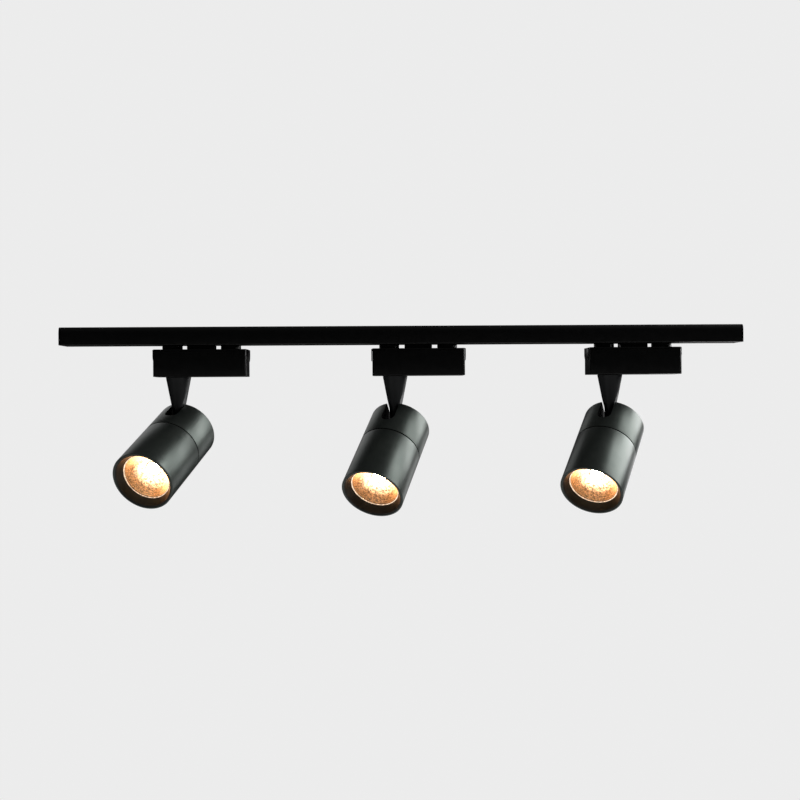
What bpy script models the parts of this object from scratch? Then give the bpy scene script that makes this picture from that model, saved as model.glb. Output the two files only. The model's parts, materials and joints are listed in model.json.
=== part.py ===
"""Track lighting fixture: a two-wire ceiling track that carries three adjustable spot lamps.

Frame: metres, +Z up, +X along the track. The origin is the middle of the track's top face, which
lies on the ceiling. A lamp's pieces hang below: driver box, conical stem and cylindrical head.
"""
import math

import bmesh
import bpy
from mathutils import Matrix

# ---------------------------------------------------------------- clearances
GAP = 0.0003                    # between pieces that touch
SLIDE_CLEARANCE = 0.0005        # between the adapter's guide rib and the slot

# ---------------------------------------------------------------- track
TRACK_LENGTH = 0.800            # with both end caps
TRACK_WIDTH = 0.035
TRACK_HEIGHT = 0.021
TRACK_WALL = 0.0018
TRACK_WEB = 0.002               # top web, against the ceiling
LIP_THICKNESS = 0.002
SLOT_WIDTH = 0.018
SHOULDER_DROP = 0.0075          # height of the rounded top edges
SHOULDER_INSET = 0.003
END_CAP_THICKNESS = 0.002
END_PLUG_LENGTH = 0.006
INSULATOR_DEPTH = 0.0031
CONDUCTOR_GROOVE_DEPTH = 0.0017
CONDUCTOR_GROOVE_HEIGHT = 0.004
CONDUCTOR_THICKNESS = 0.0008
TERMINAL_LENGTH = 0.020
TERMINAL_HEIGHT = 0.0085
TERMINAL_HOLE_RADIUS = 0.0018
INLET_RADIUS = 0.005            # cable hole in the web
INLET_FROM_END = 0.040
GROMMET_WALL = 0.0015
GROMMET_FLANGE = 0.0018
SCREW_HOLE_RADIUS = 0.0022
SCREW_HOLE_SPACING = 0.600

# ---------------------------------------------------------------- adapter, the driver box
ADAPTER_LENGTH = 0.111          # over the end tongues
ADAPTER_WIDTH = 0.035
ADAPTER_HEIGHT = 0.0319
ADAPTER_GAP = 0.0053            # from the track's underside to the box
ADAPTER_WALL = 0.002
ADAPTER_EDGE_RADIUS = 0.003
COVER_THICKNESS = 0.002
TONGUE_THICKNESS = 0.0009
TONGUE_WIDTH = 0.024
TONGUE_HEIGHT = 0.0145
TONGUE_CORNER = 0.007
RIB_LENGTH = 0.032
ROTOR_OFFSET = 0.0343           # from the box's middle to each rotor
ROTOR_FLANGE_RADIUS = 0.0118
ROTOR_SHAFT_RADIUS = 0.008
ROTOR_SHAFT_DEPTH = 0.0055      # below the cover
WING_THICKNESS = 0.0022
WING_CLEARANCE = 0.0008         # from the wing tips to the track's walls
TOWER_RADIUS = 0.0062
TOWER_ROOF = 0.0021             # above the blades
BLADE_WIDTH = 0.005
BLADE_THICKNESS = 0.0012
BOARD_THICKNESS = 0.0016
BOARD_STANDOFF = 0.004
BOARD_FROM_WALL = 0.0025        # from its long edges to the housing's walls
BOARD_FROM_NUT = 0.0094         # from its near end to the stem's nut
DRIVER_HEADROOM = 0.0054        # from the transformer's top to the rotors' shafts
TRANSFORMER_LENGTH = 0.020
TRANSFORMER_WIDTH = 0.018
CAPACITOR_RADIUS = 0.0045
CAPACITOR_DROP = 0.001          # of its top below the transformer's

# ---------------------------------------------------------------- stem
STEM_FROM_END = 0.028           # from the box's left end to the pan axis
STEM_TOP_RADIUS = 0.0146
STEM_TAPER = 0.19               # loss of radius per unit of height
STEM_TIP_RADIUS = 0.0068
NECK_RADIUS = 0.006
NECK_LENGTH = 0.0115            # above the box's floor, underside to top
WIRE_BORE_RADIUS = 0.0022
WIRE_BORE_DEPTH = 0.050
TONGUE_HALF = 0.0055            # half thickness of the tilt tongue
WEDGE_START = 0.0544            # above the tilt axis, where the flats begin
WEDGE_LENGTH = 0.021
NUT_RADIUS = 0.0098
NUT_HEIGHT = 0.005
WASHER_RADIUS = 0.009
WASHER_THICKNESS = 0.001
TILT_AXIS_DROP = 0.0725         # below the box's underside

# ---------------------------------------------------------------- head
HEAD_RADIUS = 0.0359
HEAD_LENGTH = 0.1158
HEAD_WALL = 0.0024
BACK_WALL = 0.003
PIVOT_FROM_BACK = 0.0211
GROOVE_FROM_BACK = 0.0456
GROOVE_WIDTH = 0.0012
SPIGOT_LENGTH = 0.005
SLOT_HALF = 0.0081              # half width of the stem's slot in the rear housing
SLOT_END_CLEARANCE = 0.0008     # from the level stem to the slot's round end
CHEEK_THICKNESS = 0.0025
CHEEK_LENGTH = 0.034
PIN_RADIUS = 0.0023
PIN_HEAD_RADIUS = 0.0042
PIN_HEAD_LENGTH = 0.002
SINK_FROM_SPIGOT = 0.0068       # from the rear housing's spigot to the fins
SINK_BASE_THICKNESS = 0.006
SINK_FIN_LENGTH = 0.022
SINK_FIN_GAPS = 5
SINK_FIN_SPACE = 0.0035
COB_BASE_RADIUS = 0.0115
COB_BASE_THICKNESS = 0.0014
COB_EMITTER_RADIUS = 0.0075
COB_EMITTER_HEIGHT = 0.0008
REFLECTOR_THROAT = 0.0095
REFLECTOR_WALL = 0.0010
BAFFLE_WIDTH = 0.0053           # from the barrel's wall in to the reflector's mouth
BAFFLE_DEPTH = 0.0095           # from the head's front edge back to the reflector
BAFFLE_LIP = 0.0007             # how far the ring sits behind the front edge
BAFFLE_WALL = 0.0012

# ---------------------------------------------------------------- lamps, as they stand at rest
LAMP_SPACING = 0.2552
LAMP_SHIFT = -0.0096            # of the middle lamp from the track's middle
LAMPS = (                       # name, pan and tilt in degrees; tilt 0 is level, 90 straight down
    ("left", -17.7, 27.8),
    ("middle", -22.5, 40.2),
    ("right", -29.2, 39.2),
)

# ---------------------------------------------------------------- facets
HEAD_SEGMENTS = 32
STEM_SEGMENTS = 20
SMALL_SEGMENTS = 12
NUT_SIDES = 6
BOWL_POINTS = 5
SHOULDER_SEGMENTS = 5
CORNER_SEGMENTS = 3             # rounded corners of boxes
ARC_SEGMENTS = 4                # short arcs in outlines
WING_SEGMENTS = 6
SLOT_SEGMENTS = 8
SHARP_ANGLE = 35                # degrees; edges sharper than this are not shaded smooth

# ---------------------------------------------------------------- derived levels and places
TRACK_BOTTOM = -TRACK_HEIGHT
LIP_TOP = TRACK_BOTTOM + LIP_THICKNESS
WING_BOTTOM = LIP_TOP + GAP
WING_TOP = WING_BOTTOM + WING_THICKNESS
CAVITY_HALF = TRACK_WIDTH / 2 - TRACK_WALL
INSULATOR_BOTTOM = WING_TOP + GAP
INSULATOR_TOP = -SHOULDER_DROP - GAP
INSULATOR_OUTER = CAVITY_HALF - GAP
INSULATOR_INNER = INSULATOR_OUTER - INSULATOR_DEPTH
CONDUCTOR_LEVEL = (INSULATOR_BOTTOM + INSULATOR_TOP) / 2
CONDUCTOR_OUTER = INSULATOR_INNER + CONDUCTOR_GROOVE_DEPTH - GAP
CONDUCTOR_INNER = CONDUCTOR_OUTER - CONDUCTOR_THICKNESS
PROFILE_HALF = TRACK_LENGTH / 2 - END_CAP_THICKNESS - GAP

ADAPTER_TOP = TRACK_BOTTOM - ADAPTER_GAP
ADAPTER_BOTTOM = ADAPTER_TOP - ADAPTER_HEIGHT
COVER_BOTTOM = ADAPTER_TOP - COVER_THICKNESS
BOX_HALF = ADAPTER_LENGTH / 2 - TONGUE_THICKNESS - GAP
BOX_MIDDLE = ADAPTER_LENGTH / 2 - STEM_FROM_END
FLOOR_TOP = ADAPTER_BOTTOM + ADAPTER_WALL
BLADE_REACH = CONDUCTOR_INNER - GAP
TOWER_TOP = CONDUCTOR_LEVEL + BLADE_THICKNESS + TOWER_ROOF

TILT_AXIS = ADAPTER_BOTTOM - TILT_AXIS_DROP
STEM_TOP = ADAPTER_BOTTOM - GAP
LEVEL_STEM_RADIUS = STEM_TOP_RADIUS - STEM_TAPER * (STEM_TOP - TILT_AXIS - HEAD_RADIUS)
SLOT_END = PIVOT_FROM_BACK + LEVEL_STEM_RADIUS + SLOT_END_CLEARANCE
HEAD_INNER = HEAD_RADIUS - HEAD_WALL
SPIGOT_END = GROOVE_FROM_BACK + GROOVE_WIDTH / 2 + SPIGOT_LENGTH
SINK_FRONT = SPIGOT_END + SINK_FROM_SPIGOT + SINK_FIN_LENGTH + SINK_BASE_THICKNESS
REFLECTOR_BACK = SINK_FRONT + GAP + COB_BASE_THICKNESS + GAP
REFLECTOR_FRONT = HEAD_LENGTH - BAFFLE_DEPTH - GAP
REFLECTOR_MOUTH = HEAD_INNER - GAP - BAFFLE_WIDTH


# ---------------------------------------------------------------- tools
def collection(name):
    group = bpy.data.collections.new(name)
    bpy.context.scene.collection.children.link(group)
    return group


def working(name, data):
    """Put a shape under construction in the workshop collection."""
    body = bpy.data.objects.new(name, data)
    body.display_type = "WIRE"
    body.hide_render = True
    WORKSHOP.objects.link(body)
    return body


def settle(body):
    """Replace the body's data by the mesh that its modifiers or its curve make."""
    graph = bpy.context.evaluated_depsgraph_get()
    mesh = bpy.data.meshes.new_from_object(body.evaluated_get(graph))
    name = body.name
    bpy.data.objects.remove(body)
    return working(name, mesh)


def edit(body, work):
    """Run work(bm) on the body's mesh."""
    bm = bmesh.new()
    bm.from_mesh(body.data)
    work(bm)
    bm.to_mesh(body.data)
    bm.free()
    return body


def turned(name, profile, steps, ring=False):
    """A solid of revolution about Z; the profile runs down its outer side. A ring's profile closes."""
    mesh = bpy.data.meshes.new(name)
    edges = [(i, i + 1) for i in range(len(profile) - 1)]
    if ring:
        edges.append((len(profile) - 1, 0))
    mesh.from_pydata([(radius, 0.0, height) for radius, height in profile], edges, [])
    body = working(name, mesh)
    screw = body.modifiers.new("turn", "SCREW")
    screw.axis = "Z"
    screw.steps = steps
    screw.render_steps = steps
    screw.use_merge_vertices = True
    screw.merge_threshold = 0.00001
    return settle(body)


def extruded(name, outline, low, high, turn=Matrix.Identity(4)):
    """A flat outline in the XY plane, extruded in Z from low to high and then turned."""
    curve = bpy.data.curves.new(name, "CURVE")
    curve.dimensions = "2D"
    curve.fill_mode = "BOTH"
    curve.extrude = (high - low) / 2
    spline = curve.splines.new("POLY")
    spline.points.add(len(outline) - 1)
    for point, (x, y) in zip(spline.points, outline):
        point.co = (x, y, 0.0, 1.0)
    spline.use_cyclic_u = True
    body = settle(working(name, curve))

    def weld(bm):
        bmesh.ops.remove_doubles(bm, verts=bm.verts, dist=0.000001)
        bmesh.ops.recalc_face_normals(bm, faces=bm.faces)
        bmesh.ops.translate(bm, verts=bm.verts, vec=(0.0, 0.0, (low + high) / 2))
        bmesh.ops.transform(bm, matrix=turn, verts=bm.verts)

    return edit(body, weld)


def block(name, low, high):
    """A box between two corners."""
    body = working(name, bpy.data.meshes.new(name))
    size = [b - a for a, b in zip(low, high)]
    middle = [(a + b) / 2 for a, b in zip(low, high)]

    def make(bm):
        place = Matrix.Translation(middle) @ Matrix.Diagonal((*size, 1.0))
        bmesh.ops.create_cube(bm, size=1.0, matrix=place)

    return edit(body, make)


def rod(name, radius, low, high, segments, turn=Matrix.Identity(4)):
    """A round bar along Z from low to high, then turned."""
    body = working(name, bpy.data.meshes.new(name))

    def make(bm):
        place = turn @ Matrix.Translation((0.0, 0.0, (low + high) / 2))
        bmesh.ops.create_cone(bm, cap_ends=True, segments=segments, radius1=radius, radius2=radius,
                              depth=high - low, matrix=place)

    return edit(body, make)


def boolean(body, operation, tools):
    for tool in tools:
        modifier = body.modifiers.new(tool.name, "BOOLEAN")
        modifier.operation = operation
        modifier.solver = "EXACT"
        modifier.object = tool
    result = settle(body)
    for tool in tools:
        bpy.data.objects.remove(tool)
    return result


def cut(body, *tools):
    return boolean(body, "DIFFERENCE", tools)


def join(body, *tools):
    return boolean(body, "UNION", tools)


def round_edges(body, radius, segments, wanted):
    """Bevel the edges for which wanted(start, end) is true."""
    def bevel(bm):
        edges = [e for e in bm.edges if wanted(e.verts[0].co, e.verts[1].co)]
        bmesh.ops.bevel(bm, geom=edges, offset=radius, segments=segments, profile=0.5,
                        affect="EDGES", clamp_overlap=True)

    return edit(body, bevel)


def upright(start, end):
    return abs(start.x - end.x) + abs(start.y - end.y) < 1e-6


def arc(centre, radii, first, last, segments):
    """Points on an ellipse between two angles in degrees."""
    angles = [math.radians(first + (last - first) * i / segments) for i in range(segments + 1)]
    return [(centre[0] + radii[0] * math.cos(a), centre[1] + radii[1] * math.sin(a)) for a in angles]


def mirrored(half):
    """A symmetric outline from its right half, which starts and ends beside the middle."""
    return half + [(-x, y) for x, y in reversed(half)]


def material(name, colour, roughness, metallic=0.0, glow=0.0):
    finish = bpy.data.materials.new(name)
    finish.use_nodes = True
    shader = finish.node_tree.nodes["Principled BSDF"]
    shader.inputs["Base Color"].default_value = (*colour, 1.0)
    shader.inputs["Roughness"].default_value = roughness
    shader.inputs["Metallic"].default_value = metallic
    if glow:
        shader.inputs["Emission Color"].default_value = (1.0, 0.75, 0.45, 1.0)
        shader.inputs["Emission Strength"].default_value = glow
    finish.diffuse_color = (*colour, 1.0)
    return finish


def shape(body, finish):
    """The finished mesh of a body, with its material; the body itself is cleared away."""
    mesh = body.data
    mesh.materials.clear()
    mesh.materials.append(finish)
    mesh.shade_smooth()
    mesh.set_sharp_from_angle(angle=math.radians(SHARP_ANGLE))
    bpy.data.objects.remove(body)
    return mesh


def empty(name, place, parent=None):
    """A frame that pieces are parented to."""
    frame = bpy.data.objects.new(name, None)
    frame.empty_display_size = HEAD_RADIUS
    frame.matrix_local = place
    frame.parent = parent
    PARTS.objects.link(frame)
    return frame


def piece(name, mesh, parent):
    part = bpy.data.objects.new(name, mesh)
    part.parent = parent
    PARTS.objects.link(part)
    return part


ALONG_X = Matrix(((0, 0, 1, 0), (1, 0, 0, 0), (0, 1, 0, 0), (0, 0, 0, 1)))   # outline is (y, z)
ACROSS_Y = Matrix(((1, 0, 0, 0), (0, 0, 1, 0), (0, -1, 0, 0), (0, 0, 0, 1)))  # outline is (x, -z)
PIN_TURN = Matrix.Rotation(math.radians(90), 4, "Y")                          # bar along X


# ---------------------------------------------------------------- track pieces
def track_outline():
    """Half of the track's outer outline, from the ceiling down to the slot's lip."""
    half = TRACK_WIDTH / 2
    shoulder = arc((half - SHOULDER_INSET, -SHOULDER_DROP), (SHOULDER_INSET, SHOULDER_DROP),
                   90, 0, SHOULDER_SEGMENTS)
    return shoulder + [(half, TRACK_BOTTOM)]


def track_profile():
    lip = [(SLOT_WIDTH / 2, TRACK_BOTTOM), (SLOT_WIDTH / 2, LIP_TOP), (CAVITY_HALF, LIP_TOP)]
    top = [(CAVITY_HALF, -SHOULDER_DROP), (CAVITY_HALF - SHOULDER_INSET, -TRACK_WEB)]
    half = track_outline() + lip + top
    body = extruded("track_profile", mirrored(half), -PROFILE_HALF, PROFILE_HALF, ALONG_X)
    holes = [(INLET_RADIUS, INLET_FROM_END - TRACK_LENGTH / 2)]
    holes += [(SCREW_HOLE_RADIUS, side * SCREW_HOLE_SPACING / 2) for side in (-1, 1)]
    drills = [rod("drill", radius, -2 * TRACK_WEB, TRACK_WEB, SMALL_SEGMENTS,
                  Matrix.Translation((x, 0, 0))) for radius, x in holes]
    return cut(body, *drills)


def insulator(side):
    """Strip with a groove for the copper; side is -1 at the front, 1 at the back."""
    groove_low = CONDUCTOR_LEVEL - CONDUCTOR_GROOVE_HEIGHT / 2
    groove_high = CONDUCTOR_LEVEL + CONDUCTOR_GROOVE_HEIGHT / 2
    groove = INSULATOR_INNER + CONDUCTOR_GROOVE_DEPTH
    outline = [(INSULATOR_OUTER, INSULATOR_BOTTOM), (INSULATOR_OUTER, INSULATOR_TOP),
               (INSULATOR_INNER, INSULATOR_TOP), (INSULATOR_INNER, groove_high),
               (groove, groove_high), (groove, groove_low),
               (INSULATOR_INNER, groove_low), (INSULATOR_INNER, INSULATOR_BOTTOM)]
    outline = [(side * y, z) for y, z in outline]
    return extruded("insulator", outline, -PROFILE_HALF, PROFILE_HALF, ALONG_X)


def conductor(side):
    half = CONDUCTOR_GROOVE_HEIGHT / 2 - GAP
    inner, outer = sorted((side * CONDUCTOR_INNER, side * CONDUCTOR_OUTER))
    return block("conductor", (-PROFILE_HALF, inner, CONDUCTOR_LEVEL - half),
                 (PROFILE_HALF, outer, CONDUCTOR_LEVEL + half))


def end_cap(side):
    """Plate with the track's outline and a plug between the insulators."""
    inner = side * (PROFILE_HALF + GAP)
    outer = side * TRACK_LENGTH / 2
    plate = extruded("end_cap", mirrored(track_outline()), *sorted((inner, outer)), ALONG_X)
    plug_half = INSULATOR_INNER - GAP
    plug_end = side * (PROFILE_HALF - END_PLUG_LENGTH)
    x_low, x_high = sorted((plug_end, (inner + outer) / 2))
    plug = block("plug", (x_low, -plug_half, INSULATOR_BOTTOM), (x_high, plug_half, INSULATOR_TOP))
    return join(plate, plug)


def terminal_block():
    start = -PROFILE_HALF + END_PLUG_LENGTH + GAP
    end = start + TERMINAL_LENGTH
    half = INSULATOR_INNER - 2 * GAP
    low = INSULATOR_BOTTOM
    body = block("terminal_block", (start, -half, low), (end, half, low + TERMINAL_HEIGHT))
    middle = low + TERMINAL_HEIGHT / 2
    wires = [rod("wire_hole", TERMINAL_HOLE_RADIUS, (start + end) / 2, end + TERMINAL_LENGTH,
                 SMALL_SEGMENTS, Matrix.Translation((0, side * half / 2, middle)) @ PIN_TURN)
             for side in (-1, 1)]
    return cut(body, *wires)


def inlet_grommet():
    """Rubber ring that fills the cable hole and bears on the web from inside."""
    bore = INLET_RADIUS - GAP - GROMMET_WALL
    outer = INLET_RADIUS - GAP
    flange = INLET_RADIUS + GROMMET_FLANGE
    under = -TRACK_WEB - GAP
    foot = under - GROMMET_WALL / 2
    profile = [(outer, -GAP), (outer, under), (flange, under), (flange, foot), (bore, foot), (bore, -GAP)]
    body = turned("inlet_grommet", profile, SMALL_SEGMENTS, ring=True)
    centre = INLET_FROM_END - TRACK_LENGTH / 2
    return edit(body, lambda bm: bmesh.ops.translate(bm, verts=bm.verts, vec=(centre, 0, 0)))


# ---------------------------------------------------------------- adapter pieces, about the pan axis
def adapter_housing():
    half = ADAPTER_WIDTH / 2
    top = COVER_BOTTOM - GAP
    body = block("adapter_housing", (BOX_MIDDLE - BOX_HALF, -half, ADAPTER_BOTTOM),
                 (BOX_MIDDLE + BOX_HALF, half, top))
    round_edges(body, ADAPTER_EDGE_RADIUS, CORNER_SEGMENTS, upright)
    inner = block("inner", (BOX_MIDDLE - BOX_HALF + ADAPTER_WALL, -half + ADAPTER_WALL, FLOOR_TOP),
                  (BOX_MIDDLE + BOX_HALF - ADAPTER_WALL, half - ADAPTER_WALL, ADAPTER_TOP))
    round_edges(inner, ADAPTER_EDGE_RADIUS - ADAPTER_WALL / 2, CORNER_SEGMENTS - 1, upright)
    bearing = rod("bearing", NECK_RADIUS + GAP, ADAPTER_BOTTOM - ADAPTER_WALL, FLOOR_TOP + ADAPTER_WALL,
                  STEM_SEGMENTS)
    return cut(body, inner, bearing)


def adapter_cover():
    """Lid with the guide rib on top and a tongue down each end of the housing."""
    half = ADAPTER_WIDTH / 2
    body = block("adapter_cover", (BOX_MIDDLE - BOX_HALF, -half, COVER_BOTTOM),
                 (BOX_MIDDLE + BOX_HALF, half, ADAPTER_TOP))
    round_edges(body, ADAPTER_EDGE_RADIUS, CORNER_SEGMENTS, upright)
    rib_half = SLOT_WIDTH / 2 - SLIDE_CLEARANCE
    rib = block("rib", (BOX_MIDDLE - RIB_LENGTH / 2, -rib_half, COVER_BOTTOM + COVER_THICKNESS / 2),
                (BOX_MIDDLE + RIB_LENGTH / 2, rib_half, LIP_TOP))
    additions = [rib]
    for side in (-1, 1):
        corner_y = TONGUE_WIDTH / 2 - TONGUE_CORNER
        corner_z = ADAPTER_TOP - TONGUE_HEIGHT + TONGUE_CORNER
        corner = arc((corner_y, corner_z), (TONGUE_CORNER, TONGUE_CORNER), 0, -90, ARC_SEGMENTS)
        outline = mirrored([(TONGUE_WIDTH / 2, ADAPTER_TOP)] + corner)
        inner = BOX_MIDDLE + side * (BOX_HALF + GAP)
        outer = BOX_MIDDLE + side * ADAPTER_LENGTH / 2
        additions.append(extruded("tongue", outline, *sorted((inner, outer)), ALONG_X))
        root = BOX_MIDDLE + side * (BOX_HALF - ADAPTER_WALL)
        x_low, x_high = sorted((root, (inner + outer) / 2))
        additions.append(block("root", (x_low, -TONGUE_WIDTH / 2 + GAP, COVER_BOTTOM),
                               (x_high, TONGUE_WIDTH / 2 - GAP, ADAPTER_TOP - GAP)))
    body = join(body, *additions)
    holes = [rod("hole", ROTOR_SHAFT_RADIUS + GAP, COVER_BOTTOM - COVER_THICKNESS, TRACK_BOTTOM,
                 STEM_SEGMENTS, Matrix.Translation((BOX_MIDDLE + side * ROTOR_OFFSET, 0, 0)))
             for side in (-1, 1)]
    return cut(body, *holes)


def rotor(with_tower):
    """Quarter-turn piece: a flange under the track's lips and two wings above them."""
    neck = SLOT_WIDTH / 2 - 2 * SLIDE_CLEARANCE
    flange_low = ADAPTER_TOP + GAP
    flange_high = TRACK_BOTTOM - GAP
    middle = (WING_BOTTOM + WING_TOP) / 2
    profile = [(0, middle), (neck, middle), (neck, flange_high), (ROTOR_FLANGE_RADIUS, flange_high),
               (ROTOR_FLANGE_RADIUS, flange_low), (ROTOR_SHAFT_RADIUS, flange_low),
               (ROTOR_SHAFT_RADIUS, COVER_BOTTOM - ROTOR_SHAFT_DEPTH), (0, COVER_BOTTOM - ROTOR_SHAFT_DEPTH)]
    body = turned("rotor", profile, STEM_SEGMENTS)
    reach = CAVITY_HALF - WING_CLEARANCE
    side_angle = math.degrees(math.asin(neck / reach))
    wings = arc((0, 0), (reach, reach), 90 - side_angle, 90 + side_angle, WING_SEGMENTS)
    wings += [(-x, -y) for x, y in wings]
    body = join(body, extruded("wings", wings, WING_BOTTOM, WING_TOP))
    if with_tower:
        body = join(body, rod("tower", TOWER_RADIUS, middle, TOWER_TOP, STEM_SEGMENTS))
        slot_x = BLADE_WIDTH / 2 + GAP
        slot_z = BLADE_THICKNESS / 2 + GAP
        body = cut(body, block("blade_slot", (-slot_x, -2 * TOWER_RADIUS, CONDUCTOR_LEVEL - slot_z),
                               (slot_x, 2 * TOWER_RADIUS, CONDUCTOR_LEVEL + slot_z)))
    return body


def contact_blade(side):
    """Copper leaf that reaches into one conductor's groove; its tip is an arc about the rotor's axis."""
    half = BLADE_WIDTH / 2
    tip_angle = math.degrees(math.asin(half / BLADE_REACH))
    tip = arc((0, 0), (BLADE_REACH, BLADE_REACH), 90 - tip_angle, 90 + tip_angle, ARC_SEGMENTS)
    outline = [(x, side * y) for x, y in [(half, GAP)] + tip + [(-half, GAP)]]
    return extruded("contact_blade", outline, CONDUCTOR_LEVEL - BLADE_THICKNESS / 2,
                    CONDUCTOR_LEVEL + BLADE_THICKNESS / 2)


def driver_board():
    """Circuit board with its transformer and capacitor, on the side away from the stem."""
    end = BOX_MIDDLE + BOX_HALF - ADAPTER_WALL - 2 * GAP
    start = NUT_RADIUS + BOARD_FROM_NUT
    half_width = ADAPTER_WIDTH / 2 - ADAPTER_WALL - BOARD_FROM_WALL
    low = FLOOR_TOP + BOARD_STANDOFF
    top = low + BOARD_THICKNESS
    body = block("driver_board", (start, -half_width, low), (end, half_width, top))
    tallest = COVER_BOTTOM - ROTOR_SHAFT_DEPTH - DRIVER_HEADROOM
    middle = (start + end) / 2
    transformer = block("transformer",
                        (middle - TRANSFORMER_LENGTH / 2, -TRANSFORMER_WIDTH / 2, (low + top) / 2),
                        (middle + TRANSFORMER_LENGTH / 2, TRANSFORMER_WIDTH / 2, tallest))
    capacitor = rod("capacitor", CAPACITOR_RADIUS, (low + top) / 2, tallest - CAPACITOR_DROP, SMALL_SEGMENTS,
                    Matrix.Translation((start + 2 * CAPACITOR_RADIUS, 0, 0)))
    posts = [rod("post", BOARD_STANDOFF / 2, FLOOR_TOP + GAP, (low + top) / 2, SMALL_SEGMENTS,
                 Matrix.Translation((x, 0, 0))) for x in (start + BOARD_STANDOFF, end - BOARD_STANDOFF)]
    return join(body, transformer, capacitor, *posts)


# ---------------------------------------------------------------- stem pieces, about the pan axis
def stem():
    """Cone that narrows to a round bar, with two sloping flats that leave a tongue for the tilt pin."""
    neck_top = ADAPTER_BOTTOM + NECK_LENGTH
    cone_end = STEM_TOP - (STEM_TOP_RADIUS - STEM_TIP_RADIUS) / STEM_TAPER
    profile = [(0, neck_top), (NECK_RADIUS, neck_top), (NECK_RADIUS, STEM_TOP), (STEM_TOP_RADIUS, STEM_TOP),
               (STEM_TIP_RADIUS, cone_end)]
    profile += arc((0, TILT_AXIS), (STEM_TIP_RADIUS, STEM_TIP_RADIUS), 0, -90, ARC_SEGMENTS)
    body = turned("stem", profile, STEM_SEGMENTS)
    wedge_top = TILT_AXIS + WEDGE_START
    wedge_bottom = wedge_top - WEDGE_LENGTH
    wedge_half = STEM_TOP_RADIUS - STEM_TAPER * (ADAPTER_BOTTOM - wedge_top)
    far = 2 * STEM_TOP_RADIUS
    below = TILT_AXIS - 2 * STEM_TIP_RADIUS
    tools = []
    for side in (-1, 1):
        flat = [(wedge_half, wedge_top), (TONGUE_HALF, wedge_bottom), (TONGUE_HALF, below), (far, below),
                (far, wedge_top)]
        outline = [(side * x, -z) for x, z in flat]
        tools.append(extruded("flat", outline, -far, far, ACROSS_Y))
    tools.append(rod("pin_hole", PIN_RADIUS + GAP, -far, far, SMALL_SEGMENTS,
                     Matrix.Translation((0, 0, TILT_AXIS)) @ PIN_TURN))
    tools.append(rod("wire_bore", WIRE_BORE_RADIUS, neck_top - WIRE_BORE_DEPTH, neck_top + NECK_LENGTH,
                     SMALL_SEGMENTS))
    return cut(body, *tools)


def friction_washer():
    low = FLOOR_TOP + GAP
    high = low + WASHER_THICKNESS
    bore = NECK_RADIUS + GAP
    profile = [(WASHER_RADIUS, high), (WASHER_RADIUS, low), (bore, low), (bore, high)]
    return turned("friction_washer", profile, STEM_SEGMENTS, ring=True)


def stem_nut():
    low = FLOOR_TOP + WASHER_THICKNESS + 2 * GAP
    body = rod("stem_nut", NUT_RADIUS, low, low + NUT_HEIGHT, NUT_SIDES)
    thread = rod("thread", NECK_RADIUS + GAP, low - NUT_HEIGHT, low + 2 * NUT_HEIGHT, STEM_SEGMENTS)
    return cut(body, thread)


# ---------------------------------------------------------------- head pieces
# The head's own frame has its origin on the tilt pin, +Z out of the front and +X along the pin.
def from_back(distance):
    """Height in the head's frame of a place this far from the head's back end."""
    return distance - PIVOT_FROM_BACK


def rear_housing():
    """Closed-backed half shell: a slot for the stem between two cheeks that carry the tilt pin."""
    back = from_back(0)
    shoulder = from_back(GROOVE_FROM_BACK - GROOVE_WIDTH / 2)
    front = from_back(SPIGOT_END)
    spigot = HEAD_INNER - GAP
    profile = [(0, front), (spigot, front), (spigot, shoulder), (HEAD_RADIUS, shoulder), (HEAD_RADIUS, back),
               (0, back)]
    body = turned("rear_housing", profile, HEAD_SEGMENTS)
    hollow_radius = spigot - HEAD_WALL
    hollow = rod("hollow", hollow_radius, from_back(BACK_WALL), front + SPIGOT_LENGTH, HEAD_SEGMENTS)
    cheek = SLOT_HALF + CHEEK_THICKNESS
    solid = block("solid", (-cheek, -SLOT_HALF - CHEEK_THICKNESS, back),
                  (cheek, HEAD_RADIUS, from_back(CHEEK_LENGTH)))
    hollow = cut(hollow, solid)
    slot_centre = from_back(SLOT_END - SLOT_HALF)
    opening = [(SLOT_HALF, back - BACK_WALL)]
    opening += arc((0, slot_centre), (SLOT_HALF, SLOT_HALF), 0, 180, SLOT_SEGMENTS)
    opening += [(-SLOT_HALF, back - BACK_WALL)]
    opening = [(x, -z) for x, z in opening]
    slot = extruded("slot", opening, 0, 2 * HEAD_RADIUS, ACROSS_Y)
    well = rod("well", SLOT_HALF, back - BACK_WALL, from_back(CHEEK_LENGTH + BACK_WALL), STEM_SEGMENTS)
    pin_hole = rod("pin_hole", PIN_RADIUS + GAP, -hollow_radius, hollow_radius, SMALL_SEGMENTS, PIN_TURN)
    return cut(body, hollow, slot, well, pin_hole)


def tilt_pin():
    """Pin through both cheeks and the stem's tongue, with a head at each end."""
    cheek = SLOT_HALF + CHEEK_THICKNESS
    inner = cheek + GAP
    outer = inner + PIN_HEAD_LENGTH
    profile = [(0, outer), (PIN_HEAD_RADIUS, outer), (PIN_HEAD_RADIUS, inner), (PIN_RADIUS, inner),
               (PIN_RADIUS, -inner), (PIN_HEAD_RADIUS, -inner), (PIN_HEAD_RADIUS, -outer), (0, -outer)]
    body = turned("tilt_pin", profile, SMALL_SEGMENTS)
    return edit(body, lambda bm: bmesh.ops.transform(bm, matrix=PIN_TURN, verts=bm.verts))


def front_barrel():
    back = from_back(GROOVE_FROM_BACK + GROOVE_WIDTH / 2)
    front = from_back(HEAD_LENGTH)
    profile = [(HEAD_RADIUS, front), (HEAD_RADIUS, back), (HEAD_INNER, back), (HEAD_INNER, front)]
    return turned("front_barrel", profile, HEAD_SEGMENTS, ring=True)


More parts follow.
